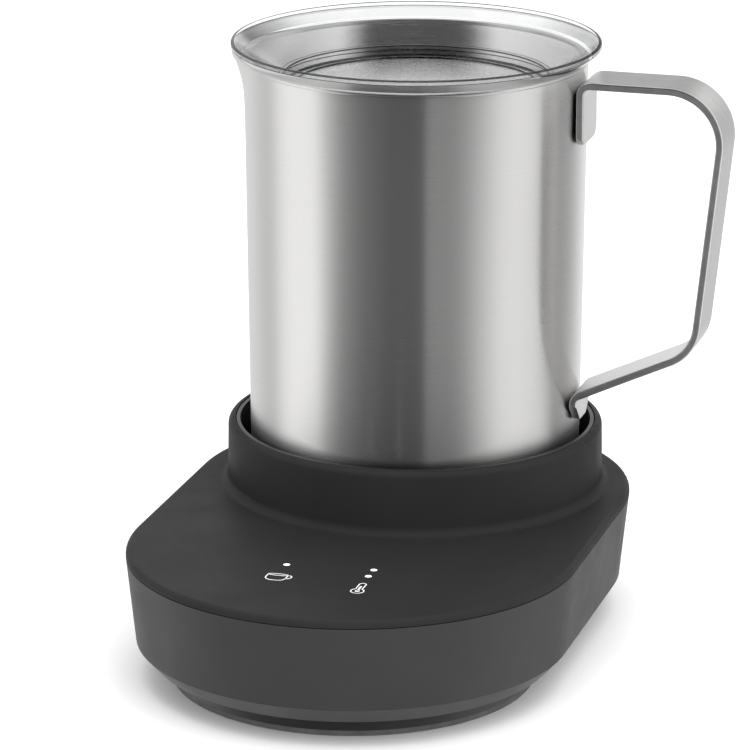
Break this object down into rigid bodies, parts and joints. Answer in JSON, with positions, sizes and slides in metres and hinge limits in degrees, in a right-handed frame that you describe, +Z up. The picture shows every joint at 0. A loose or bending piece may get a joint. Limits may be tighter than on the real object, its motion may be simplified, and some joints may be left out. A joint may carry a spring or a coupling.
{
  "type": "milk frother",
  "caption": "Milk frother: heated base with round socket, lift-off steel jug with strap handle and spout, magnetically driven whisk, clear lid.",
  "frame": {"origin": "on the floor, on the vertical axis of the jug and socket", "axes": "+Z up, +Y towards the back (controls at -Y), +X towards the handle (spout at -X)"},
  "size_m": [0.1577, 0.1908, 0.1711],
  "materials": {
    "housing_grey": "satin drafted plastic",
    "panel_black": "fine satin plastic",
    "liner_black": "satin",
    "tray_black": "moulded",
    "foot_rubber": "matt rubber",
    "seal_silicone": "silicone",
    "plate_metal": "turned",
    "element_steel": "sheath",
    "motor_steel": "zinc plated",
    "bush_brass": "sintered bronze",
    "armature_copper": "wound",
    "magnet_grey": "ferrite",
    "carrier_white": "moulded",
    "board_green": "solder mask",
    "part_black": "moulded",
    "part_blue": "sleeve",
    "pad_grey": "conductive foam",
    "guide_clear": "clear",
    "jug_steel": "brushed round the axis",
    "handle_steel": "satin",
    "lid_clear": "clear plastic",
    "whisk_white": "moulded",
    "screw_steel": "plated"
  },
  "bodies": {
    "base": {"side_housing": "housing_grey", "top_cover": "panel_black", "socket_liner": "liner_black", "bottom_cover": "tray_black", "foot_ring": "foot_rubber", "case_screw_1": "screw_steel", "case_screw_2": "screw_steel", "case_screw_3": "screw_steel", "case_screw_4": "screw_steel", "plate_seal": "seal_silicone", "heater_plate": "plate_metal", "heating_element": "element_steel", "thermal_cutout": "part_black", "temperature_sensor": "bush_brass", "motor_can": "motor_steel", "motor_end_cap": "part_black", "motor_field_magnet": "magnet_grey", "upper_bush": "bush_brass", "lower_bush": "bush_brass", "motor_bracket": "motor_steel", "bracket_screw_right": "screw_steel", "bracket_screw_left": "screw_steel", "control_board": "board_green", "power_board": "board_green", "transformer": "part_black", "relay": "part_blue", "capacitor": "part_blue", "buzzer": "part_black", "touch_pad_left": "pad_grey", "touch_pad_right": "pad_grey", "light_guide": "guide_clear", "cord_gland": "foot_rubber"},
    "rotor": {"motor_shaft": "screw_steel", "armature": "armature_copper", "magnet_carrier": "carrier_white", "drive_magnet": "magnet_grey"},
    "jug": {"jug_shell": "jug_steel", "jug_base_disc": "jug_steel", "whisk_post": "screw_steel", "handle_strap": "handle_steel"},
    "lid": {"lid_shell": "lid_clear"},
    "whisk": {"whisk_hub": "whisk_white", "whisk_magnet": "magnet_grey", "whisk_ring": "screw_steel"}
  },
  "joints": [
    {"name": "rotor_spin", "type": "hinge", "parent": "base", "child": "rotor", "pos_m": [0, 0, 0.02], "axis": [0, 0, 1], "continuous": true},
    {"name": "jug_lift", "type": "slide", "parent": "base", "child": "jug", "axis": [0, 0, 1], "range_m": [0, 0.15]},
    {"name": "lid_lift", "type": "slide", "parent": "jug", "child": "lid", "axis": [0, 0, 1], "range_m": [0, 0.1]},
    {"name": "whisk_spin", "type": "hinge", "parent": "jug", "child": "whisk", "pos_m": [0, 0, 0.05], "axis": [0, 0, 1], "continuous": true}
  ],
  "couplings": [
    {"joint": "whisk_spin", "follows": "rotor_spin", "ratio": 1}
  ]
}
